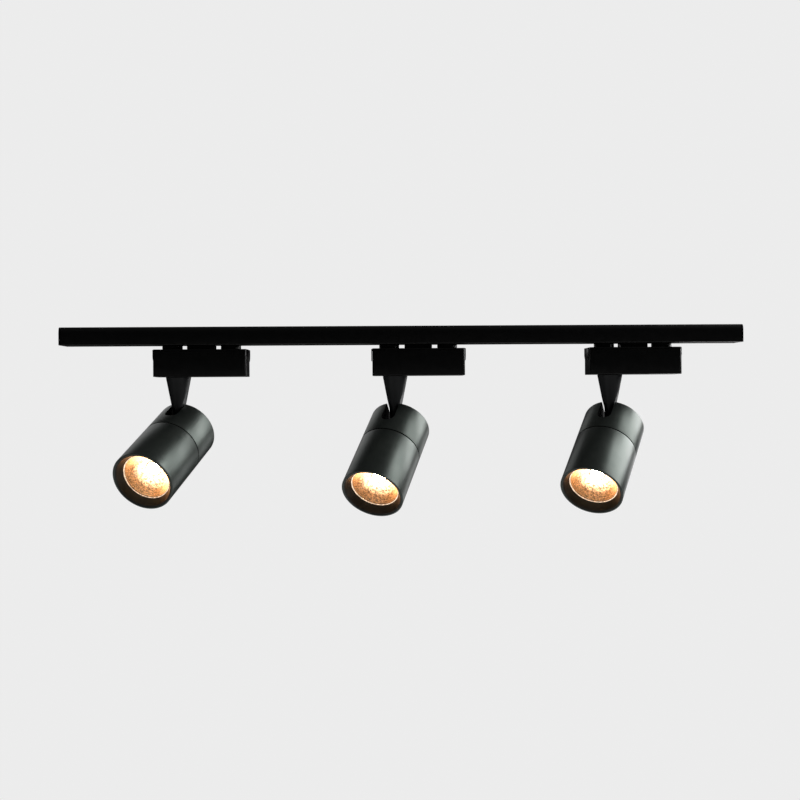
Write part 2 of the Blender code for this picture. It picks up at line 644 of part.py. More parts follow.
def heat_sink():
    """Round aluminium sink: the base carries the light source, and fins stand behind it."""
    front = from_back(SINK_FRONT)
    radius = HEAD_INNER - GAP
    body = rod("heat_sink", radius, front - SINK_BASE_THICKNESS - SINK_FIN_LENGTH, front, HEAD_SEGMENTS)
    pitch = 2 * radius / (SINK_FIN_GAPS + 1)
    cutters = []
    for i in range(SINK_FIN_GAPS):
        x = (i - (SINK_FIN_GAPS - 1) / 2) * pitch
        low = (x - SINK_FIN_SPACE / 2, -2 * radius, front - SINK_BASE_THICKNESS - 2 * SINK_FIN_LENGTH)
        high = (x + SINK_FIN_SPACE / 2, 2 * radius, front - SINK_BASE_THICKNESS)
        cutters.append(block("fin_gap", low, high))
    return cut(body, *cutters)


def cob_module():
    """Light source: a round carrier with the emitting disc on it."""
    low = from_back(SINK_FRONT) + GAP
    face = low + COB_BASE_THICKNESS
    top = face + COB_EMITTER_HEIGHT
    profile = [(0, top), (COB_EMITTER_RADIUS, top), (COB_EMITTER_RADIUS, face), (COB_BASE_RADIUS, face),
               (COB_BASE_RADIUS, low), (0, low)]
    return turned("cob_module", profile, STEM_SEGMENTS)


def reflector():
    """Flared bowl whose wall is a parabola between throat and mouth."""
    front = from_back(REFLECTOR_FRONT)
    back = from_back(REFLECTOR_BACK)
    flare = REFLECTOR_MOUTH - REFLECTOR_WALL - REFLECTOR_THROAT
    inner = []
    for i in range(BOWL_POINTS + 1):
        share = i / BOWL_POINTS
        inner.append((REFLECTOR_THROAT + flare * math.sqrt(share), back + share * (front - back)))
    outer = [(radius + REFLECTOR_WALL, height) for radius, height in reversed(inner)]
    return turned("reflector", outer + inner, HEAD_SEGMENTS, ring=True)


def baffle_ring():
    """Black conical ring from the head's front edge back to the reflector's mouth."""
    outer = HEAD_INNER - GAP
    front = from_back(HEAD_LENGTH - BAFFLE_LIP)
    back = from_back(HEAD_LENGTH - BAFFLE_DEPTH)
    lip = outer - BAFFLE_WALL / 2
    root = REFLECTOR_MOUTH - REFLECTOR_WALL
    profile = [(outer, front), (outer, back), (root, back), (lip, front)]
    return turned("baffle_ring", profile, HEAD_SEGMENTS, ring=True)


# ---------------------------------------------------------------- assembly
for old in list(bpy.data.objects):
    bpy.data.objects.remove(old)

PARTS = collection("track_lighting_fixture")
WORKSHOP = collection("workshop")

BLACK_PAINT = material("black_paint", (0.012, 0.012, 0.013), 0.42)
BLACK_PLASTIC = material("black_plastic", (0.015, 0.015, 0.016), 0.5)
GREY_PLASTIC = material("insulator_plastic", (0.32, 0.32, 0.31), 0.6)
COPPER = material("copper", (0.72, 0.33, 0.16), 0.35, metallic=1.0)
RUBBER = material("rubber", (0.02, 0.02, 0.02), 0.8)
SATIN_HEAD = material("head_paint", (0.045, 0.05, 0.048), 0.4, metallic=0.6)
STEM_PAINT = material("stem_paint", (0.02, 0.021, 0.022), 0.28)
STEEL = material("zinc_steel", (0.6, 0.6, 0.58), 0.35, metallic=1.0)
RAW_ALUMINIUM = material("raw_aluminium", (0.65, 0.65, 0.66), 0.4, metallic=1.0)
BOARD_GREEN = material("circuit_board", (0.03, 0.2, 0.09), 0.5)
EMITTER = material("emitter", (1.0, 0.8, 0.4), 0.5, glow=8.0)
MIRROR = material("reflector_chrome", (0.85, 0.82, 0.78), 0.15, metallic=1.0)
BAFFLE_BLACK = material("baffle_black", (0.012, 0.012, 0.012), 0.45)

track = empty("track", Matrix.Identity(4))
piece("track_profile", shape(track_profile(), BLACK_PAINT), track)
piece("insulator_front", shape(insulator(-1), GREY_PLASTIC), track)
piece("insulator_back", shape(insulator(1), GREY_PLASTIC), track)
piece("conductor_live", shape(conductor(-1), COPPER), track)
piece("conductor_neutral", shape(conductor(1), COPPER), track)
piece("end_cap_feed", shape(end_cap(-1), BLACK_PLASTIC), track)
piece("end_cap_dead", shape(end_cap(1), BLACK_PLASTIC), track)
piece("terminal_block", shape(terminal_block(), GREY_PLASTIC), track)
piece("inlet_grommet", shape(inlet_grommet(), RUBBER), track)

BOX_PIECES = {
    "adapter_housing": shape(adapter_housing(), BLACK_PLASTIC),
    "adapter_cover": shape(adapter_cover(), BLACK_PLASTIC),
    "driver_board": shape(driver_board(), BOARD_GREEN),
}
CONTACT_PIECES = {
    "contact_rotor": shape(rotor(True), BLACK_PLASTIC),
    "contact_blade_live": shape(contact_blade(-1), COPPER),
    "contact_blade_neutral": shape(contact_blade(1), COPPER),
}
LOCK_PIECES = {"lock_rotor": shape(rotor(False), BLACK_PLASTIC)}
STEM_PIECES = {
    "stem": shape(stem(), STEM_PAINT),
    "stem_nut": shape(stem_nut(), STEEL),
    "friction_washer": shape(friction_washer(), STEEL),
}
HEAD_PIECES = {
    "rear_housing": shape(rear_housing(), SATIN_HEAD),
    "tilt_pin": shape(tilt_pin(), STEEL),
    "front_barrel": shape(front_barrel(), SATIN_HEAD),
    "heat_sink": shape(heat_sink(), RAW_ALUMINIUM),
    "cob_module": shape(cob_module(), EMITTER),
    "reflector": shape(reflector(), MIRROR),
    "baffle_ring": shape(baffle_ring(), BAFFLE_BLACK),
}

for number, (lamp, pan, tilt) in enumerate(LAMPS):
    x = LAMP_SHIFT + (number - 1) * LAMP_SPACING
    adapter = empty(f"adapter_{lamp}", Matrix.Translation((x, 0, 0)), track)
    contact = empty(f"contact_{lamp}", Matrix.Translation((BOX_MIDDLE + ROTOR_OFFSET, 0, 0)), adapter)
    lock = empty(f"lock_{lamp}", Matrix.Translation((BOX_MIDDLE - ROTOR_OFFSET, 0, 0)), adapter)
    swivel = empty(f"swivel_{lamp}", Matrix.Rotation(math.radians(pan), 4, "Z"), adapter)
    # Turned 90 degrees about the pin, the head's front looks along -Y, level; tilt adds to that.
    tilted = Matrix.Translation((0, 0, TILT_AXIS)) @ Matrix.Rotation(math.radians(90 + tilt), 4, "X")
    head = empty(f"head_{lamp}", tilted, swivel)
    groups = ((BOX_PIECES, adapter), (CONTACT_PIECES, contact), (LOCK_PIECES, lock),
              (STEM_PIECES, swivel), (HEAD_PIECES, head))
    for pieces, frame in groups:
        for name, mesh in pieces.items():
            piece(f"{name}_{lamp}", mesh, frame)

bpy.data.collections.remove(WORKSHOP)
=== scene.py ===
import json
import math

import bmesh
import bpy
from mathutils import Matrix, Vector


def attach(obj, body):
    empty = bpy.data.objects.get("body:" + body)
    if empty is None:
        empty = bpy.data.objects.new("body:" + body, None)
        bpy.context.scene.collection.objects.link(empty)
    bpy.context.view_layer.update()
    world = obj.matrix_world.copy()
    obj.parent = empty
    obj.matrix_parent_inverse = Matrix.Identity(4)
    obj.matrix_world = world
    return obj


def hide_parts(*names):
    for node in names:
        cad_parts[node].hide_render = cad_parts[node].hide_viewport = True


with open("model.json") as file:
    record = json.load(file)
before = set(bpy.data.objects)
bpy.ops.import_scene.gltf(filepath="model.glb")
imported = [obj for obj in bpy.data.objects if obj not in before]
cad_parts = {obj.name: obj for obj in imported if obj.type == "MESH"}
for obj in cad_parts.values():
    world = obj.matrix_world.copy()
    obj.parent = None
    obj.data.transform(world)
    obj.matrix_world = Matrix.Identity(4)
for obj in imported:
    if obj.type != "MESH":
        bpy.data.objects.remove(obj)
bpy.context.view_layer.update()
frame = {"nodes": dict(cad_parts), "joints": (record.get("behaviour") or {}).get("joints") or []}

NODES = frame["nodes"]
JOINTS = {joint["name"]: joint for joint in frame["joints"]}
LAMPS = ("left", "middle", "right")

# ---------------------------------------------------------------- fineness
FINE = 96                        # facets round a head or stem
MEDIUM = 64                      # facets round a rotor, bore or light source
COARSE = 32                      # facets round a small hole
GAP = 0.0003                     # left between neighbours, as in the CAD

# ---------------------------------------------------------------- camera
CAMERA_PLACE = (-0.0308, -1.238, -0.0826)
CAMERA_YAW = 1.24                # degrees to the right of straight ahead
CAMERA_PITCH = -0.20
CAMERA_ROLL = -0.37
CAMERA_LENS = 47.07

# ---------------------------------------------------------------- shape details that the CAD leaves plain
EDGE = 0.0004                    # small broken edges
BACK_EDGE = 0.0012               # rounding of the head's back
RIM_EDGE = 0.0005
FACETS_ROUND = 54                # facets round the bowl
FACET_ROWS = 10                  # and from its throat to its mouth
FACET_PILLOW = 0.00012           # how far a facet's middle stands in
FACET_STEPS = 3                  # mesh cells across a facet


# ---------------------------------------------------------------- measuring the frame
def measure(node, place=Matrix.Identity(4)):
    """Lowest and highest corner of a CAD node in the local frame that place stands for."""
    back = place.inverted()
    points = [back @ vertex.co for vertex in NODES[node].data.vertices]
    low = Vector([min(point[i] for point in points) for i in range(3)])
    high = Vector([max(point[i] for point in points) for i in range(3)])
    return low, high


def swivel_place(lamp):
    """The stem's frame: on the pan axis at ceiling height, with +X along the tilt pin."""
    axis = JOINTS[f"tilt_{lamp}"]["axis"]
    x, y, _ = JOINTS[f"pan_{lamp}"]["pos_m"]
    return Matrix.Translation((x, y, 0.0)) @ Matrix.Rotation(math.atan2(axis[1], axis[0]), 4, "Z")


def head_place(lamp):
    """The head's frame: origin on the tilt pin, +Z out of the front, +X along the pin."""
    tilt = JOINTS[f"tilt_{lamp}"]
    level = -tilt["range_deg"][0]
    turn = Matrix.Rotation(math.atan2(tilt["axis"][1], tilt["axis"][0]), 4, "Z")
    return Matrix.Translation(tilt["pos_m"]) @ turn @ Matrix.Rotation(math.radians(90 + level), 4, "X")


def box_place(lamp):
    """The driver box's frame: on the pan axis at ceiling height, not turned."""
    x, y, _ = JOINTS[f"pan_{lamp}"]["pos_m"]
    return Matrix.Translation((x, y, 0.0))


def rotor_place(lamp, kind):
    x, y, _ = JOINTS[f"{kind}_turn_{lamp}"]["pos_m"]
    return Matrix.Translation((x, y, 0.0))


# ---------------------------------------------------------------- mesh tools
def linked(name, data):
    thing = bpy.data.objects.new(name, data)
    bpy.context.scene.collection.objects.link(thing)
    return thing


def settle(thing):
    """The mesh that an object's modifiers or curve make; the object is removed."""
    graph = bpy.context.evaluated_depsgraph_get()
    mesh = bpy.data.meshes.new_from_object(thing.evaluated_get(graph))
    bpy.data.objects.remove(thing)
    return mesh


def edited(mesh, work):
    bm = bmesh.new()
    bm.from_mesh(mesh)
    work(bm)
    bm.to_mesh(mesh)
    bm.free()
    return mesh


def moved(mesh, matrix):
    mesh.transform(matrix)
    return mesh


def turned(profile, steps, ring=False):
    """Solid of revolution about Z; the profile is (radius, height) down the outer side."""
    mesh = bpy.data.meshes.new("turned")
    edges = [(i, i + 1) for i in range(len(profile) - 1)]
    if ring:
        edges.append((len(profile) - 1, 0))
    mesh.from_pydata([(radius, 0.0, height) for radius, height in profile], edges, [])
    thing = linked("turned", mesh)
    screw = thing.modifiers.new("turn", "SCREW")
    screw.steps = steps
    screw.render_steps = steps
    screw.use_merge_vertices = True
    screw.merge_threshold = 0.000005
    return settle(thing)


def extruded(outline, low, high, turn=Matrix.Identity(4)):
    """Flat outline in XY, extruded along Z from low to high, then turned."""
    curve = bpy.data.curves.new("outline", "CURVE")
    curve.dimensions = "2D"
    curve.fill_mode = "BOTH"
    curve.extrude = (high - low) / 2
    spline = curve.splines.new("POLY")
    spline.points.add(len(outline) - 1)
    for point, (x, y) in zip(spline.points, outline):
        point.co = (x, y, 0.0, 1.0)
    spline.use_cyclic_u = True
    mesh = settle(linked("outline", curve))

    def weld(bm):
        bmesh.ops.remove_doubles(bm, verts=bm.verts, dist=0.000001)
        bmesh.ops.dissolve_limit(bm, angle_limit=0.001, verts=bm.verts, edges=bm.edges)
        bmesh.ops.recalc_face_normals(bm, faces=bm.faces)

    return moved(edited(mesh, weld), turn @ Matrix.Translation((0, 0, (low + high) / 2)))


def block(low, high):
    mesh = bpy.data.meshes.new("block")
    size = [b - a for a, b in zip(low, high)]
    middle = [(a + b) / 2 for a, b in zip(low, high)]
    place = Matrix.Translation(middle) @ Matrix.Diagonal((*size, 1.0))
    return edited(mesh, lambda bm: bmesh.ops.create_cube(bm, size=1.0, matrix=place))


def rod(radius, low, high, segments, turn=Matrix.Identity(4)):
    mesh = bpy.data.meshes.new("rod")
    place = turn @ Matrix.Translation((0.0, 0.0, (low + high) / 2))
    return edited(mesh, lambda bm: bmesh.ops.create_cone(
        bm, cap_ends=True, segments=segments, radius1=radius, radius2=radius,
        depth=high - low, matrix=place))


def boolean(mesh, operation, tools):
    thing = linked("body", mesh)
    cutters = [linked("tool", tool) for tool in tools]
    for cutter in cutters:
        modifier = thing.modifiers.new("boolean", "BOOLEAN")
        modifier.operation = operation
        modifier.solver = "EXACT"
        modifier.object = cutter
    result = settle(thing)
    for cutter in cutters:
        bpy.data.objects.remove(cutter)
    return result


def cut(mesh, *tools):
    return boolean(mesh, "DIFFERENCE", tools)


def join(mesh, *tools):
    return boolean(mesh, "UNION", tools)


def softened(mesh, width, segments=2, angle=32.0):
    """Round every edge that is sharper than angle."""
    thing = linked("soft", mesh)
    bevel = thing.modifiers.new("soft", "BEVEL")
    bevel.width = width
    bevel.segments = segments
    bevel.limit_method = "ANGLE"
    bevel.angle_limit = math.radians(angle)
    bevel.use_clamp_overlap = True
    return settle(thing)


def rounded(mesh, radius, segments, wanted):
    """Bevel the edges for which wanted(start, end) is true."""
    def bevel(bm):
        edges = [e for e in bm.edges if wanted(e.verts[0].co, e.verts[1].co)]
        bmesh.ops.bevel(bm, geom=edges, offset=radius, segments=segments, profile=0.5,
                        affect="EDGES", clamp_overlap=True)

    return edited(mesh, bevel)


def arc(centre, radii, first, last, segments):
    """Points on an ellipse between two angles in degrees."""
    angles = [math.radians(first + (last - first) * i / segments) for i in range(segments + 1)]
    return [(centre[0] + radii[0] * math.cos(a), centre[1] + radii[1] * math.sin(a)) for a in angles]


def mirrored(half):
    return half + [(-x, y) for x, y in reversed(half)]


def upright(start, end):
    return abs(start.x - end.x) + abs(start.y - end.y) < 1e-6


ALONG_X = Matrix(((0, 0, 1, 0), (1, 0, 0, 0), (0, 1, 0, 0), (0, 0, 0, 1)))
ACROSS_Y = Matrix(((1, 0, 0, 0), (0, 0, 1, 0), (0, -1, 0, 0), (0, 0, 0, 1)))
PIN_TURN = Matrix.Rotation(math.radians(90), 4, "Y")


# ---------------------------------------------------------------- materials
BOWL_LEVELS = [corner.z for corner in measure("reflector_left", head_place("left"))]


class Finish:
    """A Principled material whose colour, roughness and bump come from procedural nodes."""

    def __init__(self, name, **settings):
        self.material = bpy.data.materials.new(name)
        self.material.use_nodes = True
        self.nodes = self.material.node_tree.nodes
        self.links = self.material.node_tree.links
        self.shader = self.nodes["Principled BSDF"]
        for socket, value in settings.items():
            self.shader.inputs[socket.replace("_", " ")].default_value = value
        self.coordinates = self.nodes.new("ShaderNodeTexCoord").outputs["Object"]
        self.bump_out = None

    def noise(self, scale, detail=3.0, stretch=None, roughness=0.5):
        """A noise field; scale is features per metre, stretch squeezes it along an axis."""
        texture = self.nodes.new("ShaderNodeTexNoise")
        texture.inputs["Scale"].default_value = scale
        texture.inputs["Detail"].default_value = detail
        texture.inputs["Roughness"].default_value = roughness
        source = self.coordinates
        if stretch:
            mapping = self.nodes.new("ShaderNodeMapping")
            mapping.inputs["Scale"].default_value = stretch
            self.links.new(source, mapping.inputs["Vector"])
            source = mapping.outputs["Vector"]
        self.links.new(source, texture.inputs["Vector"])
        return texture.outputs["Fac"]

    def spread(self, field, low, high, start=0.3, end=0.7):
        """Map a field onto a range of numbers."""
        node = self.nodes.new("ShaderNodeMapRange")
        node.inputs["From Min"].default_value = start
        node.inputs["From Max"].default_value = end
        node.inputs["To Min"].default_value = low
        node.inputs["To Max"].default_value = high
        self.links.new(field, node.inputs["Value"])
        return node.outputs["Result"]

    def ramp(self, field, stops):
        node = self.nodes.new("ShaderNodeValToRGB")
        elements = node.color_ramp.elements
        while len(elements) < len(stops):
            elements.new(0.5)
        for element, (position, colour) in zip(elements, stops):
            element.position = position
            element.color = (*colour, 1.0)
        self.links.new(field, node.inputs["Fac"])
        return node.outputs["Color"]

    def glow(self):
        """Painted light for the bowl: emission that stands in for the lamplight its facets reflect, hot at
        the throat, amber and dimmer at the mouth, with a painted bright sheen on the lip.
        """
        split = self.nodes.new("ShaderNodeSeparateXYZ")
        self.links.new(self.coordinates, split.inputs["Vector"])
        height = self.spread(split.outputs["Z"], 0.0, 1.0, *BOWL_LEVELS)
        facets = self.nodes.new("ShaderNodeTexVoronoi")
        facets.inputs["Scale"].default_value = 620.0
        self.links.new(self.coordinates, facets.inputs["Vector"])
        shade = self.nodes.new("ShaderNodeSeparateColor")
        self.links.new(facets.outputs["Color"], shade.inputs["Color"])
        # Painted glints: each facet cell's share of the painted light is scaled by its own random level.
        painted_glints = self.spread(shade.outputs["Red"], 0.25, 1.9, 0.0, 1.0)
        # Colour of the painted light from throat to mouth; the stop at 1.0 is a painted bright sheen on the
        # lip.
        painted_glow_colour = self.ramp(height, [(0.0, (2.6, 1.9, 1.2)), (0.25, (1.6, 0.98, 0.50)),
                                  (0.5, (0.42, 0.17, 0.06)), (0.98, (0.15, 0.055, 0.018)),
                                  (1.0, (0.75, 0.52, 0.36))])
        scale = self.nodes.new("ShaderNodeVectorMath")
        scale.operation = "SCALE"
        self.links.new(painted_glow_colour, scale.inputs[0])
        self.links.new(painted_glints, scale.inputs["Scale"])
        return scale.outputs["Vector"]

    def set(self, socket, output):
        self.links.new(output, self.shader.inputs[socket])

    def mottle(self, scale, detail, dark, light, start=0.3, end=0.7):
        """Base colour that wanders between two shades."""
        self.set("Base Color", self.ramp(self.noise(scale, detail), [(start, dark), (end, light)]))

    def bump(self, field, distance, strength=1.0):
        node = self.nodes.new("ShaderNodeBump")
        node.inputs["Distance"].default_value = distance
        node.inputs["Strength"].default_value = strength
        self.links.new(field, node.inputs["Height"])
        if self.bump_out:
            self.links.new(self.bump_out, node.inputs["Normal"])
        self.bump_out = node.outputs["Normal"]
        self.links.new(self.bump_out, self.shader.inputs["Normal"])


def paint(name, dark, light, roughness, grain, depth, **settings):
    """Sprayed paint: slow colour variation, fine orange peel, slightly uneven gloss."""
    finish = Finish(name, **settings)
    finish.mottle(60.0, 4.0, dark, light)
    finish.set("Roughness", finish.spread(finish.noise(120.0, 3.0), roughness - 0.02, roughness + 0.03))
    finish.bump(finish.noise(grain, 2.0), depth)
    return finish


def grey(level):
    return (level, level, level)


PAINTS = {                       # material, dark and light shade, roughness, grains per metre, bump depth
    "track": ("track_black", (0.0012, 0.0012, 0.0013), (0.0018, 0.0018, 0.0019), 0.33, 2600.0, 0.000006),
    "plastic": ("moulded_black", (0.0012, 0.0013, 0.0014), (0.0019, 0.002, 0.0021), 0.30, 3200.0, 0.000006),
    "head": ("head_satin", (0.052, 0.062, 0.056), (0.066, 0.076, 0.069), 0.36, 4200.0, 0.000010),
    "stem": ("stem_gloss", (0.010, 0.0115, 0.013), (0.013, 0.0145, 0.016), 0.36, 1800.0, 0.000003),
    "inside": ("inside_black", grey(0.002), grey(0.003), 0.7, 3000.0, 0.000005),
    "baffle": ("baffle_satin", grey(0.003), grey(0.0045), 0.32, 3000.0, 0.000005),
    "insulator": ("insulator_grey", (0.24, 0.24, 0.235), (0.32, 0.32, 0.31), 0.5, 1500.0, 0.00002),
    "rubber": ("grommet_rubber", grey(0.012), grey(0.02), 0.75, 2500.0, 0.00004),
}
PAINT_SPECULAR = {"track": 0.40, "plastic": 0.4, "head": 0.4, "stem": 0.45, "inside": 0.1, "baffle": 0.45,
                  "insulator": 0.5, "rubber": 0.5}
PAINT_METALLIC = {"head": 0.75}


def make_finishes():
    made = {}
    for name, looks in PAINTS.items():
        made[name] = paint(*looks, Specular_IOR_Level=PAINT_SPECULAR[name],
                           Metallic=PAINT_METALLIC.get(name, 0.0))

    strip = Finish("conductor_copper", Metallic=1.0)
    brushed = strip.noise(900.0, 3.0, stretch=(0.02, 1.0, 1.0))
    strip.mottle(90.0, 4.0, (0.62, 0.28, 0.13), (0.78, 0.38, 0.2))
    strip.set("Roughness", strip.spread(brushed, 0.24, 0.42))
    strip.bump(brushed, 0.00002)
    made["copper"] = strip

    steel = Finish("zinc_steel", Metallic=1.0)
    turned_marks = steel.noise(1400.0, 2.0, stretch=(1.0, 1.0, 0.1))
    steel.mottle(300.0, 3.0, (0.5, 0.5, 0.48), (0.66, 0.65, 0.62))
    steel.set("Roughness", steel.spread(turned_marks, 0.25, 0.42))
    steel.bump(turned_marks, 0.00001)
    made["steel"] = steel

    sink = Finish("raw_aluminium", Metallic=1.0)
    milled = sink.noise(1100.0, 2.0, stretch=(1.0, 0.05, 1.0))
    sink.mottle(120.0, 3.0, (0.58, 0.58, 0.59), (0.68, 0.68, 0.7))
    sink.set("Roughness", sink.spread(milled, 0.3, 0.48))
    sink.bump(milled, 0.00002)
    made["sink"] = sink

    board = Finish("circuit_board")
    board.mottle(700.0, 1.0, (0.02, 0.13, 0.05), (0.03, 0.22, 0.09), 0.42, 0.58)
    board.set("Roughness", board.spread(board.noise(300.0), 0.35, 0.5))
    made["board"] = board

    # The bowl's emission is painted light: the lamp's light reflected by its facets, painted on as glow.
    bowl = Finish("reflector_bowl", Metallic=1.0, Emission_Strength=1.0)
    bowl.mottle(500.0, 2.0, (0.84, 0.66, 0.46), (0.92, 0.76, 0.56))
    bowl.set("Roughness", bowl.spread(bowl.noise(900.0, 2.0), 0.17, 0.25))
    bowl.set("Emission Color", bowl.glow())
    made["bowl"] = bowl

    ceramic = Finish("cob_carrier")
    ceramic.mottle(400.0, 3.0, (0.72, 0.71, 0.68), (0.8, 0.79, 0.76))
    ceramic.set("Roughness", ceramic.spread(ceramic.noise(800.0), 0.35, 0.5))
    made["carrier"] = ceramic

    phosphor = Finish("cob_phosphor", Emission_Strength=90.0)
    glow = phosphor.ramp(phosphor.noise(1200.0, 2.0), [(0.3, (1.0, 0.66, 0.34)), (0.7, (1.0, 0.74, 0.44))])
    phosphor.set("Base Color", glow)
    phosphor.set("Emission Color", glow)
    made["phosphor"] = phosphor
    return {name: finish.material for name, finish in made.items()}


FINISHES = make_finishes()


def dress(mesh, finish, crease=30.0):
    mesh.materials.clear()
    mesh.materials.append(FINISHES[finish])
    mesh.shade_smooth()
    mesh.set_sharp_from_angle(angle=math.radians(crease))
    return mesh


def place(name, mesh, where, body, slot, *nodes, level=True):
    """Put a finished mesh at a local frame, on its body, in place of the CAD nodes it stands for.

    A level piece has the frame's turn in its mesh, so that its bounding box stays tight.
    """
    if level and where.to_3x3() != Matrix.Identity(3):
        mesh = moved(mesh.copy(), where.to_3x3().to_4x4())
        where = Matrix.Translation(where.translation)
    thing = linked(name, mesh)
    thing.matrix_world = where
    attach(thing, body)
    if nodes:
        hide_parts(*nodes)
    return thing


# ---------------------------------------------------------------- track
TRACK_SHOULDER_DROP = 0.0075
TRACK_SHOULDER_INSET = 0.003
TRACK_WALL = 0.0018
TRACK_WEB = 0.002
TRACK_LIP = 0.002
TRACK_SLOT_HALF = 0.009
TRACK_FOOT = 0.0006              # rounding of its lower edges
INLET_RADIUS = 0.005
SCREW_HOLE_RADIUS = 0.0022
SCREW_HOLE_SPACING = 0.600


def track_outline(half, height):
    """Half of the outer outline, from the ceiling round the shoulder to the rounded foot."""
    outline = arc((half - TRACK_SHOULDER_INSET, -TRACK_SHOULDER_DROP),
                  (TRACK_SHOULDER_INSET, TRACK_SHOULDER_DROP), 90, 0, 14)
    return outline + arc((half - TRACK_FOOT, -height + TRACK_FOOT), (TRACK_FOOT, TRACK_FOOT), 0, -90, 4)


def make_track():
    low, high = measure("track_profile")
    half = high.y
    outer = track_outline(half, -low.z)
    lip_top = low.z + TRACK_LIP
    inside = half - TRACK_WALL
    lip = arc((TRACK_SLOT_HALF + EDGE, low.z + EDGE), (EDGE, EDGE), 270, 180, 3)
    lip += arc((TRACK_SLOT_HALF + EDGE, lip_top - EDGE), (EDGE, EDGE), 180, 90, 3)
    cavity = [(inside, lip_top), (inside, -TRACK_SHOULDER_DROP),
              (inside - TRACK_SHOULDER_INSET, -TRACK_WEB)]
    mesh = extruded(mirrored(outer + lip + cavity), low.x, high.x, ALONG_X)
    grommet_low, grommet_high = measure("inlet_grommet")
    inlet = ((grommet_low + grommet_high) / 2).x
    holes = [(INLET_RADIUS, inlet)]
    holes += [(SCREW_HOLE_RADIUS, side * SCREW_HOLE_SPACING / 2) for side in (-1, 1)]
    drills = [rod(radius, -2 * TRACK_WEB, TRACK_WEB, MEDIUM, Matrix.Translation((x, 0, 0)))
              for radius, x in holes]
    mesh = dress(cut(mesh, *drills), "track")
    mesh.materials.append(FINISHES["inside"])
    for face in mesh.polygons:
        face.material_index = int(face.normal.z > 0.9 and face.center.z > -EDGE)
    place("track_skin", mesh, Matrix.Identity(4), "track", "black_paint", "track_profile")
    for name in ("end_cap_feed", "end_cap_dead"):
        cap_low, cap_high = measure(name)
        side = -1 if cap_low.x < 0 else 1
        plate_low, plate_high = sorted((side * (high.x + GAP), cap_low.x if side < 0 else cap_high.x))
        outline = mirrored(outer)
        plate = softened(extruded(outline, plate_low, plate_high, ALONG_X), EDGE, 2, 50.0)
        place(f"{name}_skin", dress(plate, "plastic"), Matrix.Identity(4), "track",
              "black_plastic", name)
    for name, finish in (("insulator_front", "insulator"), ("insulator_back", "insulator"),
                         ("terminal_block", "insulator"), ("conductor_live", "copper"),
                         ("conductor_neutral", "copper"), ("inlet_grommet", "rubber")):
        dress_node(name, finish)


def dress_node(name, finish):
    """Give a CAD node that stays its finish."""
    node = NODES[name]
    node.data.materials.clear()
    node.data.materials.append(FINISHES[finish])


# ---------------------------------------------------------------- driver box
BOX_EDGE_RADIUS = 0.0036
BOX_BOTTOM_EDGE = 0.0007
BOX_WALL = 0.002
STEM_BEARING_RADIUS = 0.0063
LID_THICKNESS = 0.002
LID_EDGE = 0.0005
RIB_HALF_LENGTH = 0.016
RIB_CLEARANCE = 0.0005           # from the guide rib to the track's lips
RIB_ROOT = 0.001                 # how far the rib reaches down into the lid
SHAFT_HOLE_RADIUS = 0.0083
END_TONGUE_HALF = 0.012
END_TONGUE_CORNER = 0.007
END_TONGUE_EDGE = 0.0003
END_TONGUE_INSET = 0.0006        # of its root, from its sides and top


def box_meshes(lamp):
    """Housing and lid in the box's frame, measured from one lamp."""
    where = box_place(lamp)
    low, high = measure(f"adapter_housing_{lamp}", where)
    body = block(low, high)
    body = rounded(body, BOX_EDGE_RADIUS, 10, upright)
    body = rounded(body, BOX_BOTTOM_EDGE, 3,
                   lambda a, b: abs(a.z - low.z) < 1e-6 and abs(b.z - low.z) < 1e-6)
    inner = block((low.x + BOX_WALL, low.y + BOX_WALL, low.z + BOX_WALL),
                  (high.x - BOX_WALL, high.y - BOX_WALL, high.z + BOX_WALL))
    inner = rounded(inner, BOX_EDGE_RADIUS - BOX_WALL / 2, 4, upright)
    bearing = rod(STEM_BEARING_RADIUS, low.z - BOX_WALL, low.z + 2 * BOX_WALL, MEDIUM)
    body = cut(body, inner, bearing)

    lid_low, lid_high = measure(f"adapter_cover_{lamp}", where)
    top = high.z + GAP + LID_THICKNESS
    lid = block((low.x, low.y, high.z + GAP), (high.x, high.y, top))
    lid = rounded(lid, BOX_EDGE_RADIUS, 10, upright)
    lid = rounded(lid, LID_EDGE, 2, lambda a, b: abs(a.z - top) < 1e-6 and abs(b.z - top) < 1e-6)
    middle = (lid_low.x + lid_high.x) / 2
    rib_half = TRACK_SLOT_HALF - RIB_CLEARANCE
    rib = softened(block((middle - RIB_HALF_LENGTH, -rib_half, top - RIB_ROOT),
                         (middle + RIB_HALF_LENGTH, rib_half, lid_high.z)), LID_EDGE, 2, 50.0)
    extras = [rib]
    root_half = END_TONGUE_HALF - END_TONGUE_INSET
    for side, outer in ((-1, lid_low.x), (1, lid_high.x)):
        corner = arc((END_TONGUE_HALF - END_TONGUE_CORNER, lid_low.z + END_TONGUE_CORNER),
                     (END_TONGUE_CORNER, END_TONGUE_CORNER), 0, -90, 8)
        outline = mirrored([(END_TONGUE_HALF, top - END_TONGUE_EDGE)] + corner)
        inner_face = low.x - GAP if side < 0 else high.x + GAP
        tongue = extruded(outline, *sorted((inner_face, outer)), ALONG_X)
        root_low, root_high = sorted((inner_face - side * LID_THICKNESS, (inner_face + outer) / 2))
        extras.append(softened(tongue, END_TONGUE_EDGE, 2, 50.0))
        extras.append(block((root_low, -root_half, high.z + GAP),
                            (root_high, root_half, top - END_TONGUE_INSET)))
    lid = join(lid, *extras)
    holes = []
    for kind in ("contact", "lock"):
        x = (where.inverted() @ rotor_place(lamp, kind)).translation.x
        holes.append(rod(SHAFT_HOLE_RADIUS, high.z - LID_THICKNESS, lid_high.z, MEDIUM,
                         Matrix.Translation((x, 0, 0))))
    lid = cut(lid, *holes)
    return dress(body, "plastic"), dress(lid, "plastic")


